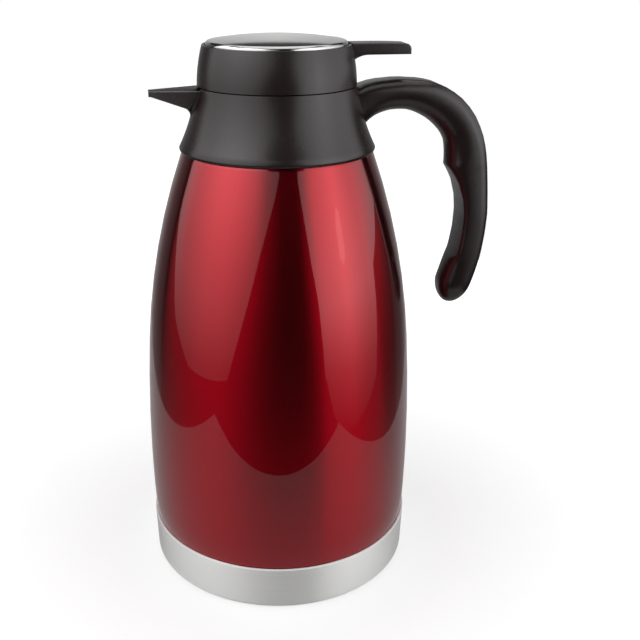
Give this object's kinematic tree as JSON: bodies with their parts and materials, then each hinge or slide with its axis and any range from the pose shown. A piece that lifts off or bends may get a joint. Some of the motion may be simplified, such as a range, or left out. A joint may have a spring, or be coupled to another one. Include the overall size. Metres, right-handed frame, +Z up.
{
  "type": "vacuum carafe",
  "caption": "Tall lacquered steel vacuum carafe with a pouring spout, a hook handle and a screw lid whose thumb lever lifts the pouring valve.",
  "frame": {"origin": "centre of the foot ring, on the table", "axes": "+Z up along the pot's axis, +X towards the handle and the thumb lever, -X towards the spout"},
  "size_m": [0.1892, 0.148, 0.2921],
  "materials": {
    "red_lacquer": "clear red metallic lacquer, high gloss",
    "satin_steel": "brushed along the turning direction, satin",
    "vessel_steel": "drawn steel, dull inside",
    "black_plastic": "moulded, fine satin grain",
    "inner_plastic": "moulded, smooth satin",
    "silicone": "soft matt silicone",
    "bright_steel": "bright turned or drawn steel",
    "getter_metal": "dull sintered grey"
  },
  "bodies": {
    "pot": {"outer_shell": "red_lacquer", "inner_vessel": "vessel_steel", "shell_bottom": "vessel_steel", "seal_button": "vessel_steel", "getter": "getter_metal", "base_cup": "satin_steel", "neck_gasket": "silicone", "throat_ring": "inner_plastic", "collar": "black_plastic", "handle": "black_plastic", "handle_screws": "bright_steel"},
    "gasket": {"lid_gasket": "silicone"},
    "lid": {"lid_shell": "black_plastic", "cap_disc": "satin_steel", "cap_carrier": "inner_plastic", "lid_deck": "inner_plastic", "stopper_cup": "inner_plastic", "stem_seal": "silicone", "deck_screws": "bright_steel", "lever_pin": "bright_steel", "valve_spring": "bright_steel"},
    "lever": {"thumb_lever": "black_plastic"},
    "valve": {"valve_stem": "bright_steel", "valve_disc": "inner_plastic", "valve_seal": "silicone", "lift_collar": "inner_plastic"}
  },
  "joints": [
    {"name": "lid_rise", "type": "slide", "parent": "pot", "child": "gasket", "axis": [0, 0, 1], "range_m": [0, 0.048]},
    {"name": "lid_turn", "type": "hinge", "parent": "gasket", "child": "lid", "pos_m": [0, 0, 0.26], "axis": [0, 0, 1], "range_deg": [0, 720]},
    {"name": "lever_press", "type": "hinge", "parent": "lid", "child": "lever", "pos_m": [0.027, 0, 0.276], "axis": [0, 1, 0], "range_deg": [0, 8], "stiffness_Nm_per_rad": 0.3, "springref_deg": -11.46},
    {"name": "valve_lift", "type": "slide", "parent": "lid", "child": "valve", "axis": [0, 0, 1], "range_m": [0, 0.0042], "deforming": ["valve_spring"]}
  ],
  "couplings": [
    {"joint": "lid_rise", "follows": "lid_turn", "m_per_rad": 0.0038197},
    {"joint": "valve_lift", "follows": "lever_press", "m_per_rad": 0.03}
  ]
}
